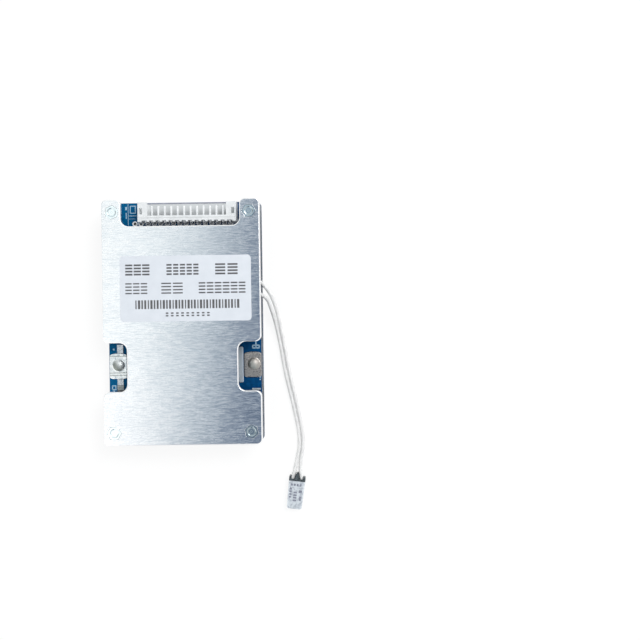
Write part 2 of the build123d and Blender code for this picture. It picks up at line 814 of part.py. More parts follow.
# The thermal switch's body: a flat case that narrows a little towards its far end
switch_frame = Plane(origin=(switch_x, switch_y, 0)).rotated((0, 0, switch_turn))
near = switch_width / 2
far = switch_far_width / 2
with BuildPart() as switch_body:
    with BuildSketch(switch_frame) as case:
        with BuildLine():
            Polyline((-near, 0), (near, 0), (far, -switch_length), (-far, -switch_length), close=True)
        make_face()
        fillet(case.vertices().sort_by(Axis.Y)[:2], switch_corner_radius)
    extrude(amount=switch_thickness)
    flat_faces = switch_body.faces().filter_by(Axis.Z)
    rims = flat_faces.edges().group_by(Axis.Y)[:-1]
    fillet([edge for rim in rims for edge in rim], switch_edge_radius)
finish(switch_body, "switch_body")


# The sealed end: resin across the case's mouth, with a bump between the two wire sockets
with BuildPart() as switch_seal:
    with BuildSketch(switch_frame) as resin:
        with Locations((0, seal_length / 2)):
            Rectangle(switch_width, seal_length)
        fillet(resin.vertices().sort_by(Axis.Y)[-2:], seal_corner_radius)
        with Locations((0, seal_length)):
            Ellipse(seal_bump_width / 2, seal_bump_length)
    extrude(amount=seal_thickness)
    for points in (outer_wire_points, inner_wire_points):
        end = Vector(*points[-1])
        back = (Vector(*points[-2]) - end).normalized()
        socket_radius = wire_diameter / 2 + fit_clearance
        with BuildSketch(Plane(origin=end, x_dir=back.cross(Vector(0, 0, 1)), z_dir=back)):
            Circle(socket_radius)
            with Locations((0, -seal_thickness / 2)):
                Rectangle(2 * socket_radius, seal_thickness)
        extrude(amount=2 * seal_length, mode=Mode.SUBTRACT)
finish(switch_seal, "switch_seal")
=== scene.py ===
import math

import bpy
from mathutils import Matrix, Vector, noise


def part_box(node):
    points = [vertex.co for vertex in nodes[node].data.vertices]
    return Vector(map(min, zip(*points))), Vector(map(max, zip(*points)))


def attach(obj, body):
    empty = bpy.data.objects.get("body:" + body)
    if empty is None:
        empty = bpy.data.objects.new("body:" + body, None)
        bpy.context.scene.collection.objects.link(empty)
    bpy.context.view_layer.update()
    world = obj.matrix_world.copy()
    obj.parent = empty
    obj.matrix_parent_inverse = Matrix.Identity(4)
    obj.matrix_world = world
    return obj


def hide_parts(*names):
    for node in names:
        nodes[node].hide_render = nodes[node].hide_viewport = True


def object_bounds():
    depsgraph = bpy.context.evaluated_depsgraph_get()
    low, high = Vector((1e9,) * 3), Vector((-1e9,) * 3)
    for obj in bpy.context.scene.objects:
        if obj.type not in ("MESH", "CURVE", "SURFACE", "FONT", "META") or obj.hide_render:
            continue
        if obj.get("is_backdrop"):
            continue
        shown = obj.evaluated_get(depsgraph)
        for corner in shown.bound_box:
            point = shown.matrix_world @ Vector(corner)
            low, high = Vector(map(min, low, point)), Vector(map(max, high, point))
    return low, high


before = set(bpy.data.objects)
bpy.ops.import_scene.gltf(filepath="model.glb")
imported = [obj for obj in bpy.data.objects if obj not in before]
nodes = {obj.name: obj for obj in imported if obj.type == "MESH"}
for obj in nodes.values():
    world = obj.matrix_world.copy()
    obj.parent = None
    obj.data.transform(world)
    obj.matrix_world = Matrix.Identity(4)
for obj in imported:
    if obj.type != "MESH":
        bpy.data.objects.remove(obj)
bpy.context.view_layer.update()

bpy.ops.object.select_all(action="DESELECT")

# The camera hangs straight above, to the right of the board, at 275 mm over the top plate,
# and is turned a little, as the board lies in the photograph.
camera_data = bpy.data.cameras.new("camera")
camera = bpy.data.objects.new("camera", camera_data)
bpy.context.scene.collection.objects.link(camera)
bpy.context.scene.camera = camera
camera.location = (0.05369, 0.00003, 0.2876)
camera.rotation_euler = (0, 0, math.radians(-0.8))
camera_data.sensor_width = 36
camera_data.lens = 18 * 275 / 124
camera_data.clip_start = 0.005
camera_data.clip_end = 20


# The lead's two wires: stranded copper in thin white plastic, soldered to the board and led
# out under the top plate's edge, then down to the table and along it to the switch.
wire_diameter = 0.0015
outer_wire_points = (
    (24.2, 18.7, 5.5), (28.3, 16.9, 6.6), (32.9, 13.1, 7.2), (35.75, 7.5, 5.6),
    (37.4, -0.3, 2.1), (39.3, -10.2, 0.78), (40.92, -20.7, 0.78), (44.58, -36.2, 0.78),
    (46.7, -48.6, 0.78), (45.15, -56.3, 0.8), (44.8, -61.2, 1.1), (45.55, -64.12, 1.5),
)
inner_wire_points = (
    (24.2, 15.7, 5.5), (26.9, 13.0, 6.4), (29.9, 10.5, 6.9), (33.0, 9.1, 6.8),
    (34.45, 4.8, 5.6), (36.0, -1.2, 2.0), (37.78, -10.5, 0.78), (39.38, -21.1, 0.78), (43.06, -36.4, 0.78),
    (45.15, -48.8, 0.78), (43.6, -56.3, 0.8), (42.55, -61.1, 1.1), (41.78, -63.65, 1.5),
)


def start_finish(name):
    """A new material: its node tree, its shader and the place that its patterns read."""
    finish = bpy.data.materials.new(name)
    finish.use_nodes = True
    tree = finish.node_tree
    place = tree.nodes.new("ShaderNodeTexCoord").outputs["Object"]
    return finish, tree, tree.nodes["Principled BSDF"], place


def mottle(tree, place, scale, detail=3.0):
    """A soft noise over the surface, stretched by its scale along X, Y and Z."""
    mapping = tree.nodes.new("ShaderNodeMapping")
    mapping.inputs["Scale"].default_value = scale
    tree.links.new(place, mapping.inputs["Vector"])
    cloud = tree.nodes.new("ShaderNodeTexNoise")
    cloud.inputs["Scale"].default_value = 1.0
    cloud.inputs["Detail"].default_value = detail
    tree.links.new(mapping.outputs["Vector"], cloud.inputs["Vector"])
    return cloud.outputs["Fac"]


def between(tree, amount, low, high, start=0.3, end=0.7):
    """A number that goes from low to high as amount goes from start to end."""
    spread = tree.nodes.new("ShaderNodeMapRange")
    spread.inputs["From Min"].default_value = start
    spread.inputs["From Max"].default_value = end
    spread.inputs["To Min"].default_value = low
    spread.inputs["To Max"].default_value = high
    tree.links.new(amount, spread.inputs["Value"])
    return spread.outputs["Result"]


def tint(tree, amount, dark, pale, start=0.3, end=0.7):
    """A colour that goes from dark to pale as amount goes from start to end."""
    ramp = tree.nodes.new("ShaderNodeValToRGB")
    ramp.color_ramp.elements[0].position = start
    ramp.color_ramp.elements[0].color = (*dark, 1)
    ramp.color_ramp.elements[1].position = end
    ramp.color_ramp.elements[1].color = (*pale, 1)
    tree.links.new(amount, ramp.inputs["Fac"])
    return ramp.outputs["Color"]


def relief(tree, shader, height, depth):
    """Fine relief of the given depth in metres, from a height between 0 and 1."""
    bump = tree.nodes.new("ShaderNodeBump")
    bump.inputs["Distance"].default_value = depth
    tree.links.new(height, bump.inputs["Height"])
    tree.links.new(bump.outputs["Normal"], shader.inputs["Normal"])


def moulded(name, dark, pale, rough=(0.38, 0.5), scale=900, depth=0.000006):
    """Moulded or extruded plastic: a faint mottle in colour, gloss and relief."""
    finish, tree, shader, place = start_finish(name)
    cloud = mottle(tree, place, (scale, scale, scale))
    fine = mottle(tree, place, (9 * scale, 9 * scale, 9 * scale), 2.0)
    tree.links.new(tint(tree, cloud, dark, pale), shader.inputs["Base Color"])
    tree.links.new(between(tree, cloud, *rough), shader.inputs["Roughness"])
    relief(tree, shader, fine, depth)
    return finish


def wear(finish, *names):
    """CAD nodes take a finish."""
    for name in names:
        nodes[name].data.materials.clear()
        nodes[name].data.materials.append(finish)


def lead_wire(name, points, finish, node):
    """One wire on a smooth curve through the air and along the table."""
    data = bpy.data.curves.new(name, "CURVE")
    data.dimensions = "3D"
    spline = data.splines.new("NURBS")
    spline.points.add(len(points) - 1)
    for knot, point in zip(spline.points, points):
        knot.co = (*[distance / 1000 for distance in point], 1)
    spline.order_u = 3
    spline.use_endpoint_u = True
    spline.resolution_u = 16
    data.bevel_depth = wire_diameter / 2
    data.bevel_resolution = 6
    data.use_fill_caps = True
    wire = bpy.data.objects.new(name, data)
    bpy.context.scene.collection.objects.link(wire)
    data.materials.append(finish)
    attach(wire, "root")
    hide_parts(node)
    return wire


wire_white = moulded("wire white", (0.63, 0.63, 0.63), (0.71, 0.71, 0.705), (0.4, 0.5), 500, 0.000004)
wire_see_through = 0.0012
shader = wire_white.node_tree.nodes["Principled BSDF"]
shader.inputs["Subsurface Weight"].default_value = 0.8
shader.inputs["Subsurface Radius"].default_value = (1, 1, 1)
shader.inputs["Subsurface Scale"].default_value = wire_see_through
lead_wire("outer_wire", outer_wire_points, wire_white, "lead_wire_outer")
lead_wire("inner_wire", inner_wire_points, wire_white, "lead_wire_inner")


# The thermal switch: a bimetal snap switch in a flat nickel-plated case, pressed from one
# sheet, with its open end closed by black resin round the two wires.
switch_case, tree, shader, place = start_finish("switch case")
shader.inputs["Metallic"].default_value = 0.75
plating = mottle(tree, place, (900, 900, 900), 2.0)
drawn = mottle(tree, place, (5000, 700, 5000), 2.0)
nickel = tint(tree, plating, (0.56, 0.60, 0.65), (0.76, 0.81, 0.85), 0.40, 0.56)
tree.links.new(nickel, shader.inputs["Base Color"])
tree.links.new(between(tree, drawn, 0.34, 0.5), shader.inputs["Roughness"])
relief(tree, shader, drawn, 0.000008)
wear(switch_case, "switch_body")

resin_black, tree, shader, place = start_finish("resin black")
lumps = mottle(tree, place, (1600, 1600, 1600), 2.0)
tree.links.new(tint(tree, lumps, (0.022, 0.030, 0.035), (0.080, 0.100, 0.112)), shader.inputs["Base Color"])
tree.links.new(between(tree, lumps, 0.18, 0.4), shader.inputs["Roughness"])
relief(tree, shader, lumps, 0.00012)
wear(resin_black, "switch_seal")


# The solder joints of the lead: tin run out to a soft dome, bright
# but slightly grained where it set.
solder, tree, shader, place = start_finish("solder")
shader.inputs["Metallic"].default_value = 1.0
grain = mottle(tree, place, (2500, 2500, 2500), 4.0)
waves = mottle(tree, place, (700, 700, 700), 1.0)
tree.links.new(tint(tree, grain, (0.60, 0.60, 0.59), (0.86, 0.86, 0.85)), shader.inputs["Base Color"])
tree.links.new(between(tree, grain, 0.22, 0.42), shader.inputs["Roughness"])
relief(tree, shader, waves, 0.00004)
wear(solder, "lead_joints")


# The bottom plate: 2 mm aluminium sheet, sawn, edge-broken and brushed along its width,
# and countersunk from below for the four screws.
def steepness(tree):
    """How far the surface faces up or down: 1 on a flat face, 0 on an upright wall."""
    facing = tree.nodes.new("ShaderNodeSeparateXYZ")
    tree.links.new(tree.nodes.new("ShaderNodeTexCoord").outputs["Normal"], facing.inputs[0])
    upright = tree.nodes.new("ShaderNodeMath")
    upright.operation = "ABSOLUTE"
    tree.links.new(facing.outputs["Z"], upright.inputs[0])
    return upright.outputs[0]


def brushed(name, dark, pale):
    """Brushed aluminium: streaks along X on the flat faces, and smooth pale rims and walls."""
    finish, tree, shader, place = start_finish(name)
    shader.inputs["Metallic"].default_value = 1.0
    shader.inputs["Anisotropic"].default_value = 0.85
    level = steepness(tree)
    flat = between(tree, level, 0, 1, 0.93, 0.99)
    across = tree.nodes.new("ShaderNodeCombineXYZ")
    across.inputs["Y"].default_value = 1.0
    across.inputs["Z"].default_value = 0.02
    tree.links.new(across.outputs["Vector"], shader.inputs["Tangent"])
    dashes = mottle(tree, place, (330, 3600, 3600), 3.0)
    hairs = mottle(tree, place, (1100, 9500, 9500), 2.0)
    cloud = mottle(tree, place, (60, 90, 90), 2.0)
    streaks = tree.nodes.new("ShaderNodeMath")
    streaks.operation = "MULTIPLY"
    tree.links.new(dashes, streaks.inputs[0])
    tree.links.new(between(tree, hairs, 0.8, 1.2), streaks.inputs[1])
    tone = tree.nodes.new("ShaderNodeMath")
    tone.operation = "MULTIPLY"
    tree.links.new(streaks.outputs[0], tone.inputs[0])
    tree.links.new(between(tree, cloud, 0.9, 1.1), tone.inputs[1])
    rim = tree.nodes.new("ShaderNodeMix")
    rim.data_type = "RGBA"
    tree.links.new(tint(tree, level, (0.84, 0.85, 0.88), pale, 0.15, 0.45), rim.inputs[6])
    tree.links.new(flat, rim.inputs[0])
    tree.links.new(tint(tree, tone.outputs[0], dark, pale, 0.36, 0.58), rim.inputs[7])
    tree.links.new(rim.outputs[2], shader.inputs["Base Color"])
    gloss = tree.nodes.new("ShaderNodeMix")
    gloss.inputs[2].default_value = 0.3
    tree.links.new(flat, gloss.inputs[0])
    tree.links.new(between(tree, streaks.outputs[0], 0.10, 0.25, 0.38, 0.66), gloss.inputs[3])
    tree.links.new(gloss.outputs[0], shader.inputs["Roughness"])
    bump = tree.nodes.new("ShaderNodeBump")
    bump.inputs["Distance"].default_value = 0.000021
    tree.links.new(flat, bump.inputs["Strength"])
    tree.links.new(streaks.outputs[0], bump.inputs["Height"])
    tree.links.new(bump.outputs["Normal"], shader.inputs["Normal"])
    return finish


bottom_aluminium = brushed("bottom aluminium", (0.66, 0.68, 0.70), (0.86, 0.87, 0.88))
wear(bottom_aluminium, "bottom_plate")


# The screws and standoffs: turned and headed steel with a thin bright zinc plating. The
# standoffs' heads are pressed flush into the top plate and keep their turning rings.
def softened(name, node, width, finish, segments=2):
    """A copy of a CAD node with its edges rounded, as forming and tumbling leave them."""
    bpy.ops.object.select_all(action="DESELECT")
    piece = bpy.data.objects.new(name, nodes[node].data.copy())
    bpy.context.scene.collection.objects.link(piece)
    piece.select_set(True)
    bpy.context.view_layer.objects.active = piece
    bpy.ops.object.mode_set(mode="EDIT")
    bpy.ops.mesh.select_all(action="SELECT")
    bpy.ops.mesh.remove_doubles(threshold=0.000001)
    bpy.ops.mesh.dissolve_limited(angle_limit=math.radians(1.0))
    bpy.ops.object.mode_set(mode="OBJECT")
    bevel = piece.modifiers.new("bevel", "BEVEL")
    bevel.width = width
    bevel.segments = segments
    bevel.limit_method = "ANGLE"
    bevel.angle_limit = math.radians(40)
    bevel.use_clamp_overlap = True
    bpy.ops.object.modifier_apply(modifier="bevel")
    bpy.ops.object.shade_smooth_by_angle(angle=math.radians(35))
    weigh = piece.modifiers.new("weigh", "WEIGHTED_NORMAL")
    weigh.keep_sharp = True
    bpy.ops.object.modifier_apply(modifier="weigh")
    piece.data.materials.clear()
    piece.data.materials.append(finish)
    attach(piece, "root")
    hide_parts(node)
    return piece


def turned(name, centre, shade, edge_painted_light):
    """Zinc on turned steel, with fine rings about the piece's own axis, lightened or darkened by painted
    light for each piece.
    """
    finish, tree, shader, place = start_finish(name)
    shader.inputs["Metallic"].default_value = 1.0
    centring = tree.nodes.new("ShaderNodeMapping")
    centring.inputs["Location"].default_value = (-centre.x, -centre.y, 0)
    tree.links.new(place, centring.inputs["Vector"])
    rings = tree.nodes.new("ShaderNodeTexWave")
    rings.wave_type = "RINGS"
    rings.rings_direction = "Z"
    rings.inputs["Scale"].default_value = 420.0
    rings.inputs["Distortion"].default_value = 1.5
    rings.inputs["Detail"].default_value = 3.0
    rings.inputs["Detail Scale"].default_value = 2.0
    tree.links.new(centring.outputs["Vector"], rings.inputs["Vector"])
    grain = mottle(tree, place, (2600, 2600, 2600), 3.0)
    edges = tree.nodes.new("ShaderNodeMix")
    edges.data_type = "RGBA"
    # Painted shade and light at the head's outline: its walls and bevels take their own colour, scaled per
    # corner.
    edges.inputs[6].default_value = (0.36 * edge_painted_light, 0.43 * edge_painted_light, 0.45 * edge_painted_light, 1)
    tree.links.new(between(tree, steepness(tree), 0, 1, 0.90, 0.995), edges.inputs[0])
    dark = [min(level * shade, 1) for level in (0.66, 0.78, 0.81)]
    pale = [min(level * shade, 1) for level in (0.82, 0.92, 0.94)]
    tree.links.new(tint(tree, grain, dark, pale), edges.inputs[7])
    tree.links.new(edges.outputs[2], shader.inputs["Base Color"])
    tree.links.new(between(tree, rings.outputs["Fac"], 0.12, 0.24, 0.2, 0.8), shader.inputs["Roughness"])
    relief(tree, shader, rings.outputs["Fac"], 0.000003)
    return finish


# Painted light: per corner, one level lightens or darkens the zinc's colour as light falls on that
# standoff, and one sets its walls' and bevels' colour.
zinc_painted_light = {
    "rear_left": (1.25, 1.3), "rear_right": (1.0, 0.9),
    "front_left": (1.3, 1.9), "front_right": (0.78, 1.2),
}
for corner, (shade, edge_painted_light) in zinc_painted_light.items():
    low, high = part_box(f"standoff_{corner}")
    zinc = turned(f"zinc {corner}".replace("_", " "), (Vector(low) + Vector(high)) / 2, shade, edge_painted_light)
    softened(f"standoff_dressed_{corner}", f"standoff_{corner}", 0.0001, zinc)
    wear(zinc, f"screw_{corner}")


# The insulating pad: a soft grey sheet, cut to the board's outline and pressed between the
# bottom plate and the circuit board.
pad_grey = moulded("pad grey", (0.20, 0.21, 0.22), (0.27, 0.28, 0.29), (0.6, 0.75), 1500, 0.00003)
wear(pad_grey, "insulating_pad")


# The circuit board: glass-cloth laminate under blue lacquer, with copper areas that show
# through as faint steps.
board_blue, tree, shader, place = start_finish("board blue")
shader.inputs["Specular IOR Level"].default_value = 0.06
copper = tree.nodes.new("ShaderNodeTexBrick")
copper.inputs["Scale"].default_value = 130.0
copper.inputs["Mortar Size"].default_value = 0.05
copper.inputs["Mortar Smooth"].default_value = 0.4
copper.inputs["Color1"].default_value = (0.70, 0.78, 0.80, 1)
copper.inputs["Color2"].default_value = (0.90, 0.94, 0.96, 1)
copper.inputs["Mortar"].default_value = (1, 1, 1, 1)
tree.links.new(place, copper.inputs["Vector"])
lacquer = mottle(tree, place, (700, 700, 700), 3.0)
shade = tree.nodes.new("ShaderNodeMix")
shade.data_type = "RGBA"
shade.blend_type = "MULTIPLY"
shade.inputs[0].default_value = 0.5
# Painted light: the lacquer is coloured lighter on the board's left and darker towards its right, as the
# light falls across it.
painted_light_across = tree.nodes.new("ShaderNodeMix")
painted_light_across.data_type = "RGBA"
split = tree.nodes.new("ShaderNodeSeparateXYZ")
tree.links.new(place, split.inputs[0])
tree.links.new(between(tree, split.outputs["X"], 0, 1, -0.024, 0.016), painted_light_across.inputs[0])
tree.links.new(tint(tree, lacquer, (0.0004, 0.076, 0.190), (0.0008, 0.116, 0.270)), painted_light_across.inputs[6])
tree.links.new(tint(tree, lacquer, (0.0003, 0.038, 0.120), (0.0006, 0.062, 0.185)), painted_light_across.inputs[7])
tree.links.new(painted_light_across.outputs[2], shade.inputs[6])
tree.links.new(copper.outputs["Color"], shade.inputs[7])
laminate = tree.nodes.new("ShaderNodeMix")
laminate.data_type = "RGBA"
laminate.inputs[6].default_value = (0.34, 0.32, 0.27, 1)
tree.links.new(between(tree, steepness(tree), 0, 1, 0.4, 0.6), laminate.inputs[0])
tree.links.new(shade.outputs[2], laminate.inputs[7])
tree.links.new(laminate.outputs[2], shader.inputs["Base Color"])
tree.links.new(between(tree, lacquer, 0.26, 0.42), shader.inputs["Roughness"])
relief(tree, shader, copper.outputs["Fac"], 0.00002)
wear(board_blue, "circuit_board")
board_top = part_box("circuit_board")[1][2]


# The board's printed marks: thin pale ink, screened on to the lacquer in plain lines and
# squares, beside the header and by each terminal.
def printed(name, bars, level, thickness, rounding, finish):
    """Thin bars of ink on a flat surface, each (x, y, size along X, size along Y) in mm."""
    pieces = []
    for x, y, along, deep in bars:
        bpy.ops.mesh.primitive_plane_add(size=0.001, location=(x / 1000, y / 1000, level))
        bar = bpy.context.active_object
        bar.scale = (along, deep, 1)
        bpy.ops.object.transform_apply(location=True, rotation=True, scale=True)
        bpy.ops.object.mode_set(mode="EDIT")
        bpy.ops.mesh.bevel(offset=rounding, segments=3, affect="VERTICES")
        bpy.ops.mesh.select_all(action="SELECT")
        bpy.ops.mesh.extrude_region_move(TRANSFORM_OT_translate={"value": (0, 0, thickness)})
        bpy.ops.mesh.select_all(action="SELECT")
        bpy.ops.mesh.normals_make_consistent(inside=False)
        bpy.ops.object.mode_set(mode="OBJECT")
        pieces.append(bar)
    return joined(name, pieces, finish)


def joined(name, pieces, finish):
    """Like pieces made into one object, which rides on the board."""
    bpy.ops.object.select_all(action="DESELECT")
    for piece in pieces:
        piece.select_set(True)
    bpy.context.view_layer.objects.active = pieces[0]
    bpy.ops.object.join()
    whole = bpy.context.active_object
    whole.name = name
    whole.data.materials.clear()
    whole.data.materials.append(finish)
    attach(whole, "root")
    whole.select_set(False)
    return whole


ink_pale = moulded("ink pale", (0.30, 0.46, 0.58), (0.40, 0.56, 0.68), (0.5, 0.6), 2500, 0.000004)
printed(
    "board_marks",
    (
        (-22.2, 43.0, 0.22, 8.6), (-20.5, 42.55, 3.4, 0.28), (-20.6, 41.35, 2.6, 0.14),
        (-21.35, 45.05, 0.32, 3.1), (-19.35, 45.05, 0.32, 3.1),
        (-20.35, 46.45, 1.7, 0.32), (-20.35, 43.65, 1.7, 0.32),
        (-23.0, 45.5, 0.7, 1.3), (-23.0, 42.6, 0.35, 2.4),
        (28.0, -10.75, 2.9, 0.45), (28.0, -9.65, 2.9, 0.45), (26.7, -10.2, 0.45, 1.5),
        (28.0, -10.2, 0.4, 1.5), (29.3, -10.2, 0.45, 1.5), (28.0, -8.7, 0.4, 1.4),
        (29.5, -22.4, 0.5, 0.5), (29.5, -23.3, 0.5, 0.5),
        (-28.7, -25.1, 1.7, 0.4), (-28.7, -26.6, 1.7, 0.4), (-29.4, -25.85, 0.4, 1.5),
        (-28.05, -25.85, 0.35, 1.1), (-28.7, -27.4, 0.6, 0.8), (-28.7, -10.6, 0.7, 0.7),
    ),
    board_top,
    0.00002,
    0.00006,
    ink_pale,
)


# The thermal switch's marks: grey ink stamped on its metal case in plain blocks, square to
# the case and so turned with it.
switch_mouth = (0.04358, -0.06458, 0)
switch_turn = math.radians(-7.0)
switch_marks = printed(
    "switch_marks",
    [
        *[(-1.9 + 1.15 * i, -1.45, 0.75, 0.9) for i in range(4)],
        *[(-2.2, -3.1 - 1.1 * i, 0.9, 0.7) for i in range(4)],
        *[(-0.25, -4.5 - 1.05 * i, 1.35, 0.7) for i in range(4)],
        (1.75, -4.0, 1.3, 1.1), (1.9, -6.8, 0.8, 1.7),
    ],
    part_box("switch_body")[1][2],
    0.00002,
    0.00006,
    moulded("ink grey", (0.15, 0.16, 0.21), (0.26, 0.28, 0.34), (0.5, 0.6), 2500, 0.000004),
)
switch_marks.data.transform(Matrix.Translation(switch_mouth) @ Matrix.Rotation(switch_turn, 4, "Z"))


# The line in front of the header: one stroke of lilac ink, screened along the board's rear
# edge over the header's whole width.
header_low, header_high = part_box("header_housing")
header_middle = (header_low[0] + header_high[0]) / 2
header_width = header_high[0] - header_low[0]
ink_line_deep = 0.4
ink_line_inset = 0.35
ink_line_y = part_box("circuit_board")[1][1] * 1000 - ink_line_inset
printed(
    "header_line",
    [(header_middle * 1000, ink_line_y, header_width * 1000, ink_line_deep)],
    board_top,
    0.00002,
    0.0001,
    moulded("ink lilac", (0.24, 0.24, 0.27), (0.38, 0.38, 0.43), (0.5, 0.6), 300, 0.000004),
)


# The ring pads: tinned copper round each of the header's pins and round the two spare
# holes to its left, flat with the lacquer.
pins_low, pins_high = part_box("header_pins")
pin_size = 0.00064
pin_count = 14
pin_xs = [
    pins_low[0] + pin_size / 2 + (pins_high[0] - pins_low[0] - pin_size) * i / (pin_count - 1)
    for i in range(pin_count)
]
spare_offsets = (0.0052, 0.0028)
ring_radius = 0.00105
ring_width = 0.0005
ring_thickness = 0.00005
bpy.ops.mesh.primitive_circle_add(vertices=32, radius=ring_radius, fill_type="NGON")
ring = bpy.context.active_object
bpy.ops.object.mode_set(mode="EDIT")
bpy.ops.mesh.inset(thickness=ring_width)
bpy.ops.mesh.delete(type="FACE")
bpy.ops.mesh.select_all(action="SELECT")
bpy.ops.mesh.extrude_region_move(TRANSFORM_OT_translate={"value": (0, 0, ring_thickness)})
bpy.ops.mesh.select_all(action="SELECT")
bpy.ops.mesh.normals_make_consistent(inside=False)
bpy.ops.object.mode_set(mode="OBJECT")
rings = []
for x in [*pin_xs, *[pin_xs[0] - offset for offset in spare_offsets]]:
    copy = bpy.data.objects.new("ring", ring.data.copy())
    copy.data.transform(Matrix.Translation((x, pins_low[1] + pin_size / 2, board_top)))
    bpy.context.scene.collection.objects.link(copy)
    rings.append(copy)
bpy.data.objects.remove(ring)
tin_white, tree, shader, place = start_finish("tin white")
shader.inputs["Metallic"].default_value = 0.2
grain = mottle(tree, place, (2000, 2000, 2000), 3.0)
tree.links.new(tint(tree, grain, (0.88, 0.89, 0.89), (0.97, 0.97, 0.97)), shader.inputs["Base Color"])
tree.links.new(between(tree, grain, 0.3, 0.5), shader.inputs["Roughness"])
relief(tree, shader, grain, 0.00001)
joined("ring_pads", rings, tin_white)


# The header's housing: white nylon moulded in one shot, with a soft sheen and slightly
# rounded edges. Inside the window its colour is darkened towards the cavity's rear: painted shade.
def apart(tree, value, at):
    """The distance of a number from a place."""
    less = tree.nodes.new("ShaderNodeMath")
    less.operation = "SUBTRACT"
    less.inputs[1].default_value = at
    tree.links.new(value, less.inputs[0])
    size = tree.nodes.new("ShaderNodeMath")
    size.operation = "ABSOLUTE"
    tree.links.new(less.outputs[0], size.inputs[0])
    return size.outputs[0]


def combined(tree, operation, one, other):
    """Two numbers put together by a math operation."""
    node = tree.nodes.new("ShaderNodeMath")
    node.operation = operation
    tree.links.new(one, node.inputs[0])
    tree.links.new(other, node.inputs[1])
    return node.outputs[0]


window_depth = 0.0055
tower_width = 0.0038
header_shift = 0.0004
nylon_white, tree, shader, place = start_finish("nylon white")
split = tree.nodes.new("ShaderNodeSeparateXYZ")
tree.links.new(place, split.inputs[0])
cloud = mottle(tree, place, (400, 400, 400))
outside = tint(tree, cloud, (0.62, 0.64, 0.65), (0.70, 0.72, 0.73))
window_rear = header_high[1] - window_depth
to_front = between(tree, split.outputs["Y"], 0, 1, window_rear, header_high[1] - 0.001)
# Painted shade: the nylon's colour inside the window's cavity darkens towards its rear wall.
inside = tint(tree, to_front, (0.34, 0.35, 0.36), (0.58, 0.60, 0.61), 0.0, 1.0)
depth = between(tree, split.outputs["Z"], 1, 0, header_high[2] - 0.0011, header_high[2] - 0.0006)
behind_wall = between(tree, split.outputs["Y"], 0, 1, window_rear - 0.0001, window_rear)
window_half = header_width / 2 - tower_width
off_middle = apart(tree, split.outputs["X"], header_middle)
in_window = between(tree, off_middle, 1, 0, window_half - 0.0001, window_half)
in_cavity = combined(tree, "MULTIPLY", combined(tree, "MULTIPLY", depth, behind_wall), in_window)
cavity_shade_mix = tree.nodes.new("ShaderNodeMix")
cavity_shade_mix.data_type = "RGBA"
tree.links.new(in_cavity, cavity_shade_mix.inputs[0])
tree.links.new(outside, cavity_shade_mix.inputs[6])
tree.links.new(inside, cavity_shade_mix.inputs[7])
tree.links.new(cavity_shade_mix.outputs[2], shader.inputs["Base Color"])
tree.links.new(between(tree, cloud, 0.36, 0.48), shader.inputs["Roughness"])
relief(tree, shader, mottle(tree, place, (3600, 3600, 3600), 2.0), 0.000005)
header = softened("header_shroud", "header_housing", 0.00008, nylon_white)
for vertex in header.data.vertices:
    if vertex.co.y > header_high[1] - 0.0003:
        vertex.co.y += header_shift


# The header's pins, the monitor's legs, the busbar and the transistors' frames: brass or
# copper, stamped and bent, with bright tin on them.
def tinned(name, dark, pale, metallic, rough):
    """Bright tin: a fine grain in tone, gloss and relief."""
    finish, tree, shader, place = start_finish(name)
    shader.inputs["Metallic"].default_value = metallic
    grain = mottle(tree, place, (2200, 2200, 2200), 3.0)
    tree.links.new(tint(tree, grain, dark, pale), shader.inputs["Base Color"])
    tree.links.new(between(tree, grain, *rough), shader.inputs["Roughness"])
    relief(tree, shader, grain, 0.000008)
    return finish


pin_tin = tinned("pin tin", (0.82, 0.83, 0.84), (0.92, 0.93, 0.93), 0.45, (0.3, 0.45))
softened("pins_dressed", "header_pins", 0.00006, pin_tin)
bright_tin = tinned("bright tin", (0.74, 0.79, 0.83), (0.84, 0.89, 0.93), 1.0, (0.22, 0.30))
wear(bright_tin, "monitor_legs")
busbar_tin = tinned("busbar tin", (0.54, 0.61, 0.67), (0.58, 0.65, 0.71), 0.6, (0.3, 0.36))
busbar_shift = 0.0004
busbar = softened("busbar_dressed", "busbar", 0.00006, busbar_tin)
for vertex in busbar.data.vertices:
    vertex.co.x -= busbar_shift
rows = ("1", "2", "3")
wear(bright_tin, *[f"transistor_{side}_{row}_frame" for side in ("left", "right") for row in rows])


# The terminals: thick copper pads flooded with solder over a rivet, so that their faces
# are lumpy. The left one ran into ridges, and the right one is dull and pitted.
side_start, side_fade = 2.4, 0.6
rear_start, rear_fade, rear_arch, half_width = 3.4, 1.7, 0.4, 3.2


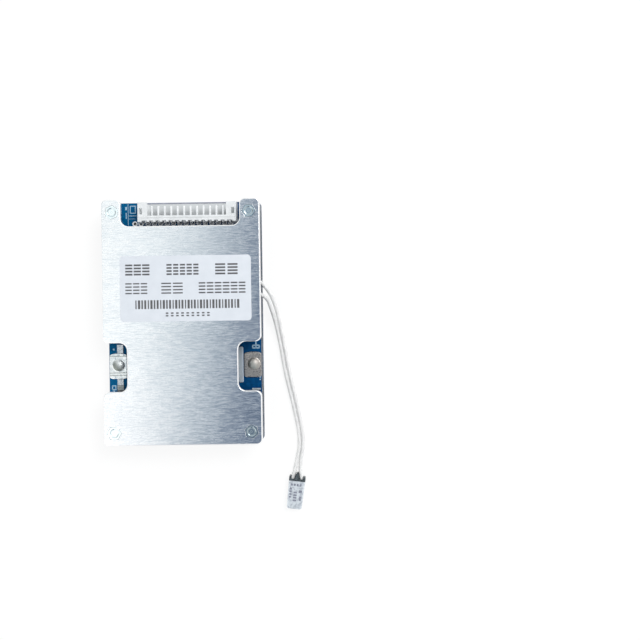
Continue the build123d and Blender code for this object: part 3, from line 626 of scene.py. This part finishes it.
def flooded(name, node, voxel, finish, raised, left_growth, right_growth):
    """A copy of a terminal in fine even facets, its face lumpy and its sides run out in mm."""
    bpy.ops.object.select_all(action="DESELECT")
    piece = bpy.data.objects.new(name, nodes[node].data.copy())
    bpy.context.scene.collection.objects.link(piece)
    piece.select_set(True)
    bpy.context.view_layer.objects.active = piece
    bpy.ops.object.mode_set(mode="EDIT")
    bpy.ops.mesh.select_all(action="SELECT")
    bpy.ops.mesh.remove_doubles(threshold=0.000001)
    bpy.ops.object.mode_set(mode="OBJECT")
    remesh = piece.modifiers.new("remesh", "REMESH")
    remesh.mode = "VOXEL"
    remesh.voxel_size = voxel
    bpy.ops.object.modifier_apply(modifier="remesh")
    centre = terminal_centre(node)
    for vertex in piece.data.vertices:
        spot = vertex.co
        x, y = (spot.x - centre.x) * 1000, (spot.y - centre.y) * 1000
        if vertex.normal.z > 0.3 and spot.z > board_top + 0.0002:
            spot.z += raised(x, y) / 1000
        outwards = min(max((abs(x) - side_start) / side_fade, 0), 1)
        spot.x += outwards * (right_growth if x > 0 else -left_growth) / 1000
        if y > rear_start:
            spot.y -= rear_arch * (x / half_width) ** 2 * (y - rear_start) / rear_fade / 1000
    bpy.ops.object.shade_smooth()
    piece.data.materials.clear()
    piece.data.materials.append(finish)
    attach(piece, "root")
    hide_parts(node)
    return piece


def terminal_centre(node):
    """The middle of a terminal's box."""
    low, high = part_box(node)
    return (Vector(low) + Vector(high)) / 2


def hump(distance, width):
    """1 at no distance, falling away softly over the width."""
    return math.exp(-((distance / width) ** 2))


def ridged(x, y):
    """Height in mm on the left terminal: soft lumps, two ridges and a groove."""
    lumps = 0.05 * noise.noise(Vector((0.9 * x, 0.9 * y, 1.0)))
    ridges = 0.10 * hump(y + 2.35, 0.16) + 0.10 * hump(y + 3.35, 0.16) - 0.12 * hump(y + 2.8, 0.2)
    groove = -0.12 * hump(y - 3.95, 0.15) * hump(x - 0.1, 1.4)
    return lumps + ridges + groove


def pitted(x, y):
    """Height in mm on the right terminal: a fine grain with a few pits at its rear."""
    grain = 0.012 * noise.noise(Vector((3.5 * x, 3.5 * y, 5.0)))
    pits = sum(hump(math.hypot(x - at, y - row), 0.13) for at, row in pit_places)
    return grain - 0.14 * min(pits, 1.0)


def tin_with_painted_shade(name, dark, pale, rough, centre, shade_colour, lines):
    """Tin with painted shade on the lower left of the rivet's dome and along lines across the pad."""
    finish = tinned(name, dark, pale, 1.0, rough)
    tree = finish.node_tree
    shader = tree.nodes["Principled BSDF"]
    bare = shader.inputs["Base Color"].links[0].from_socket
    centring = tree.nodes.new("ShaderNodeMapping")
    centring.inputs["Location"].default_value = (-centre.x, -centre.y, 0)
    tree.links.new(tree.nodes.new("ShaderNodeTexCoord").outputs["Object"], centring.inputs["Vector"])
    split = tree.nodes.new("ShaderNodeSeparateXYZ")
    tree.links.new(centring.outputs["Vector"], split.inputs[0])
    across, along = split.outputs["X"], split.outputs["Y"]
    across_squared = combined(tree, "MULTIPLY", across, across)
    along_squared = combined(tree, "MULTIPLY", along, along)
    reach = combined(tree, "ADD", across_squared, along_squared)
    disc = between(tree, reach, 1, 0, 0.0021**2, 0.0024**2)
    lower_left = between(tree, combined(tree, "ADD", across, along), 1, 0, -0.0012, 0.0020)
    shade_mask = combined(tree, "MULTIPLY", disc, lower_left)
    for at in lines:
        line = between(tree, apart(tree, along, at), 1, 0, 0.00007, 0.0002)
        shade_mask = combined(tree, "MAXIMUM", shade_mask, line)
    shade_blend = tree.nodes.new("ShaderNodeMix")
    shade_blend.data_type = "RGBA"
    shade_blend.inputs[7].default_value = (*shade_colour, 1)
    tree.links.new(shade_mask, shade_blend.inputs[0])
    tree.links.new(bare, shade_blend.inputs[6])
    tree.links.new(shade_blend.outputs[2], shader.inputs["Base Color"])
    bare_gloss = shader.inputs["Roughness"].links[0].from_socket
    dull = tree.nodes.new("ShaderNodeMix")
    dull.inputs[3].default_value = 0.55
    tree.links.new(disc, dull.inputs[0])
    tree.links.new(bare_gloss, dull.inputs[2])
    tree.links.new(dull.outputs[0], shader.inputs["Roughness"])
    return finish


pit_places = (
    (-2.6, 4.1), (-2.0, 4.35), (-1.2, 4.2), (-0.5, 4.4), (0.9, 4.3), (-2.3, 3.2), (-1.7, 3.3),
)
# Painted shade: lines across the left pad at its ridges and groove.
groove_shade_lines = (-0.00298, -0.00397, 0.00369)
voxel = 0.00012
rivet_left = terminal_centre("terminal_left") + Vector((0, 0.0003, 0))
rivet_right = terminal_centre("terminal_right") + Vector((0.0004, 0.0003, 0))
# Each rivet's dome is coloured darker on its lower left, the side turned from the lamp: painted shade.
left_solder = tin_with_painted_shade(
    "left terminal solder", (0.76, 0.80, 0.80), (0.93, 0.96, 0.96), (0.2, 0.34), rivet_left,
    (0.28, 0.31, 0.29), groove_shade_lines,
)
right_solder = tin_with_painted_shade(
    "right terminal solder", (0.34, 0.32, 0.30), (0.48, 0.45, 0.42), (0.24, 0.36), rivet_right,
    (0.42, 0.44, 0.42), (),
)
flooded("terminal_dressed_left", "terminal_left", voxel, left_solder, ridged, 0.45, 0.2)
flooded("terminal_dressed_right", "terminal_right", voxel, right_solder, pitted, 0.35, 0.25)
track_tin = tinned("track tin", (0.22, 0.26, 0.30), (0.95, 0.97, 0.98), 1.0, (0.2, 0.4))
wear(track_tin, "track_strips")


# The power transistors' bodies and the other packages: black filled epoxy, moulded over
# their frames. The soft grey thermal pad lies on them, and the top plate presses it down.
package_dark, package_pale = (0.010, 0.010, 0.011), (0.024, 0.024, 0.025)
package_black = moulded("package black", package_dark, package_pale, (0.5, 0.62), 2500, 0.00001)
wear(package_black, *[f"transistor_{side}_{row}_body" for side in ("left", "right") for row in rows])
wear(package_black, "balance_transistors", "monitor_chip", "clamp_diodes")
pad_dark, pad_pale = (0.34, 0.37, 0.42), (0.42, 0.45, 0.50)
thermal_grey = moulded("thermal pad grey", pad_dark, pad_pale, (0.6, 0.7), 1200, 0.00002)
wear(thermal_grey, "thermal_pad")


# The chip resistors and capacitors: fired ceramic blocks with a tinned cap at each end, by
# which they are soldered flat on the board.
def capped(name, dark, pale, axis, pitch, first):
    """Glazed ceramic with tin caps: chips repeat along the axis at a pitch, from the first."""
    finish, tree, shader, place = start_finish(name)
    split = tree.nodes.new("ShaderNodeSeparateXYZ")
    tree.links.new(place, split.inputs[0])
    offset = tree.nodes.new("ShaderNodeMath")
    offset.operation = "SUBTRACT"
    offset.inputs[1].default_value = first
    tree.links.new(split.outputs[axis], offset.inputs[0])
    fold = tree.nodes.new("ShaderNodeMath")
    fold.operation = "PINGPONG"
    fold.inputs[1].default_value = pitch / 2
    tree.links.new(offset.outputs[0], fold.inputs[0])
    half = chip_lengths[name] / 2
    cap_length = cap_lengths.get(name, 0.0006)
    at_end = between(tree, fold.outputs[0], 0, 1, half - cap_length - 0.00002, half - cap_length + 0.00002)
    glaze = mottle(tree, place, (1500, 1500, 1500))
    cap = tree.nodes.new("ShaderNodeMix")
    cap.data_type = "RGBA"
    tree.links.new(at_end, cap.inputs[0])
    tree.links.new(tint(tree, glaze, dark, pale), cap.inputs[6])
    cap_dark, cap_pale = cap_tones.get(name, ((0.70, 0.72, 0.73), (0.86, 0.88, 0.88)))
    tree.links.new(tint(tree, glaze, cap_dark, cap_pale), cap.inputs[7])
    tree.links.new(cap.outputs[2], shader.inputs["Base Color"])
    tree.links.new(between(tree, at_end, 0.0, 0.8, 0.0, 1.0), shader.inputs["Metallic"])
    tree.links.new(between(tree, glaze, 0.3, 0.45), shader.inputs["Roughness"])
    relief(tree, shader, glaze, 0.000008)
    return finish


def middle(node, axis):
    """The middle of a node's box along one axis."""
    low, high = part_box(node)
    return (low[axis] + high[axis]) / 2


glaze_dark = (0.020, 0.020, 0.022)
glaze_pale = (0.05, 0.05, 0.052)
chip_lengths = {
    "shunt glaze": 0.0063, "sense glaze right": 0.0063, "sense glaze left": 0.0050,
    "balance glaze": 0.0050, "capacitor tan": 0.0020,
}
cap_lengths = {"sense glaze left": 0.0019}
cap_tones = {"sense glaze left": ((0.24, 0.26, 0.25), (0.46, 0.49, 0.47))}
far_apart = 1.0
shunts = capped("shunt glaze", glaze_dark, glaze_pale, "X", far_apart, middle("shunt_1", 0))
wear(shunts, "shunt_1", "shunt_2", "shunt_3")
for name, node in (
    ("sense glaze right", "sense_resistor_right"),
    ("sense glaze left", "sense_resistor_left"),
    ("balance glaze", "balance_resistors"),
):
    wear(capped(name, glaze_dark, glaze_pale, "Y", far_apart, middle(node, 1)), node)
capacitor_pitch = 0.0034
first_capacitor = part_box("capacitors")[0][0] + chip_lengths["capacitor tan"] / 2
tan_dark, tan_pale = (0.30, 0.20, 0.11), (0.40, 0.28, 0.17)
wear(capped("capacitor tan", tan_dark, tan_pale, "X", capacitor_pitch, first_capacitor), "capacitors")


# The top plate: 2 mm aluminium sheet with three milled notches and rounded edges, brushed
# along its width.
top_aluminium = brushed("top aluminium", (0.76, 0.79, 0.82), (0.98, 0.985, 0.99))
softened("plate_dressed", "top_plate", 0.0001, top_aluminium)


# The label: a coated paper sticker, bluish white, printed in black with plain bars and
# blocks and stuck on the top plate.
label_white = moulded("label white", (0.60, 0.635, 0.685), (0.635, 0.67, 0.72), (0.45, 0.55), 300, 0.000003)
wear(label_white, "label")
label_low, label_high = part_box("label")
label_left = label_low[0] * 1000
label_front = label_low[1] * 1000
ink_dark = moulded("ink dark", (0.070, 0.070, 0.076), (0.105, 0.105, 0.112), (0.5, 0.6), 900, 0.000003)


def block_rows(first, blocks, width, pitch, centres, height):
    """Plain dashes in even blocks, from the label's left and front edges in mm."""
    return [
        (label_left + first + pitch * i, label_front + centre, width, height)
        for i in range(blocks) for centre in centres
    ]


bar_pitch = 1.2
bar_height = 3.4
bold_lines = (18.3, 19.5, 20.7, 21.9)
thin_lines = (11.0, 12.25, 13.5, 14.75)
bar_widths = (0.45, 0.85, 0.6, 0.75)
printed(
    "label_marks",
    [
        *block_rows(3.6, 3, 2.8, 3.3, bold_lines, 0.66),
        *block_rows(19.2, 5, 2.0, 2.6, bold_lines, 0.66),
        *block_rows(39.0, 2, 3.9, 4.8, bold_lines, 0.66),
        *block_rows(3.4, 3, 2.5, 3.0, thin_lines, 0.5),
        *block_rows(18.0, 2, 3.8, 4.5, thin_lines, 0.5),
        *block_rows(31.9, 6, 2.6, 3.1, thin_lines, 0.55),
        *[
            (label_left + 6.2 + bar_pitch * i, label_front + 6.6, bar_widths[i % 4], bar_height)
            for i in range(34)
        ],
        *block_rows(18.2, 9, 1.0, 2.0, (2.2, 3.2), 0.55),
    ],
    label_high[2],
    0.00002,
    0.00008,
    ink_dark,
)


# The table and the light: a plain white floor, a sky that is bright on the left and dim
# overhead, where the camera and its holder stand, and one soft lamp at the upper right.
bpy.ops.mesh.primitive_plane_add(size=6, location=(0, 0, -0.00005))
floor = bpy.context.active_object
floor.name = "floor"
floor_white, tree, shader, place = start_finish("floor white")
shader.inputs["Roughness"].default_value = 0.9
shader.inputs["Specular IOR Level"].default_value = 0.0
paper = tint(tree, mottle(tree, place, (3, 3, 3)), (0.94, 0.94, 0.94), (0.95, 0.95, 0.95))
tree.links.new(paper, shader.inputs["Base Color"])
glow = tree.nodes.new("ShaderNodeEmission")
glow.inputs["Strength"].default_value = 1.0
rays = tree.nodes.new("ShaderNodeLightPath")
looks = tree.nodes.new("ShaderNodeMath")
looks.operation = "MAXIMUM"
tree.links.new(rays.outputs["Is Camera Ray"], looks.inputs[0])
tree.links.new(rays.outputs["Is Glossy Ray"], looks.inputs[1])
share = tree.nodes.new("ShaderNodeMath")
share.operation = "MULTIPLY"
share.inputs[1].default_value = 0.84
tree.links.new(looks.outputs[0], share.inputs[0])
blend = tree.nodes.new("ShaderNodeMixShader")
tree.links.new(share.outputs[0], blend.inputs[0])
tree.links.new(shader.outputs[0], blend.inputs[1])
tree.links.new(glow.outputs[0], blend.inputs[2])
tree.links.new(blend.outputs[0], tree.nodes["Material Output"].inputs["Surface"])
floor.data.materials.append(floor_white)
floor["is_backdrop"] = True

world = bpy.data.worlds.new("studio")
bpy.context.scene.world = world
world.use_nodes = True
sky = world.node_tree
backdrop = sky.nodes["Background"]
heading = sky.nodes.new("ShaderNodeSeparateXYZ")
sky.links.new(sky.nodes.new("ShaderNodeTexCoord").outputs["Generated"], heading.inputs[0])
levels = sky.nodes.new("ShaderNodeValToRGB")
stops = levels.color_ramp.elements
stops[0].position, stops[0].color = 0.26, (0.46, 0.49, 0.49, 1)
stops[1].position, stops[1].color = 0.62, (1.0, 1.0, 1.0, 1)
for position, colour in (
    (0.325, (0.90, 0.93, 0.93, 1)),
    (0.348, (1.20, 1.24, 1.25, 1)),
    (0.366, (1.04, 1.10, 1.11, 1)),
    (0.386, (0.86, 0.92, 0.95, 1)),
    (0.418, (0.68, 0.76, 0.81, 1)),
    (0.440, (0.17, 0.22, 0.31, 1)),
    (0.520, (0.11, 0.15, 0.22, 1)),
    (0.560, (0.30, 0.34, 0.38, 1)),
):
    stops.new(position).color = colour
lean = sky.nodes.new("ShaderNodeMath")
lean.operation = "MULTIPLY_ADD"
lean.inputs[1].default_value = -0.15
sky.links.new(heading.outputs["Y"], lean.inputs[0])
sky.links.new(heading.outputs["X"], lean.inputs[2])
sky.links.new(between(sky, lean.outputs[0], 0, 1, -1, 1), levels.inputs["Fac"])
open_sky = sky.nodes.new("ShaderNodeMix")
open_sky.data_type = "RGBA"
open_sky.inputs[7].default_value = (0.98, 1.0, 1.0, 1)
sky.links.new(between(sky, heading.outputs["Y"], 0, 1, 0.42, 0.60), open_sky.inputs[0])
low_left = combined(
    sky, "MULTIPLY",
    between(sky, heading.outputs["X"], 1, 0, -0.256, -0.240),
    between(sky, heading.outputs["Y"], 1, 0, -0.13, -0.085),
)
glare = sky.nodes.new("ShaderNodeMix")
glare.data_type = "RGBA"
glare.inputs[7].default_value = (1.45, 1.42, 1.40, 1)
sky.links.new(low_left, glare.inputs[0])
sky.links.new(levels.outputs["Color"], glare.inputs[6])
sky.links.new(glare.outputs[2], open_sky.inputs[6])
seen = sky.nodes.new("ShaderNodeMix")
seen.data_type = "RGBA"
seen.inputs[7].default_value = (0.96, 0.96, 0.96, 1)
sky.links.new(sky.nodes.new("ShaderNodeLightPath").outputs["Is Camera Ray"], seen.inputs[0])
sky.links.new(open_sky.outputs[2], seen.inputs[6])
sky.links.new(seen.outputs[2], backdrop.inputs["Color"])
backdrop.inputs["Strength"].default_value = 1.0


def soft_lamp(name, place, size, power):
    """A square soft lamp that faces the board."""
    data = bpy.data.lights.new(name, "AREA")
    data.size = size
    data.energy = power
    lamp = bpy.data.objects.new(name, data)
    bpy.context.scene.collection.objects.link(lamp)
    lamp.location = place
    lamp.rotation_euler = (Vector((0.01, 0, 0)) - Vector(place)).to_track_quat("-Z", "Y").to_euler()
    return lamp


soft_lamp("window lamp", (0.45, 0.45, 0.75), 0.45, 4.8)

bpy.context.scene.view_settings.view_transform = "Standard"
low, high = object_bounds()
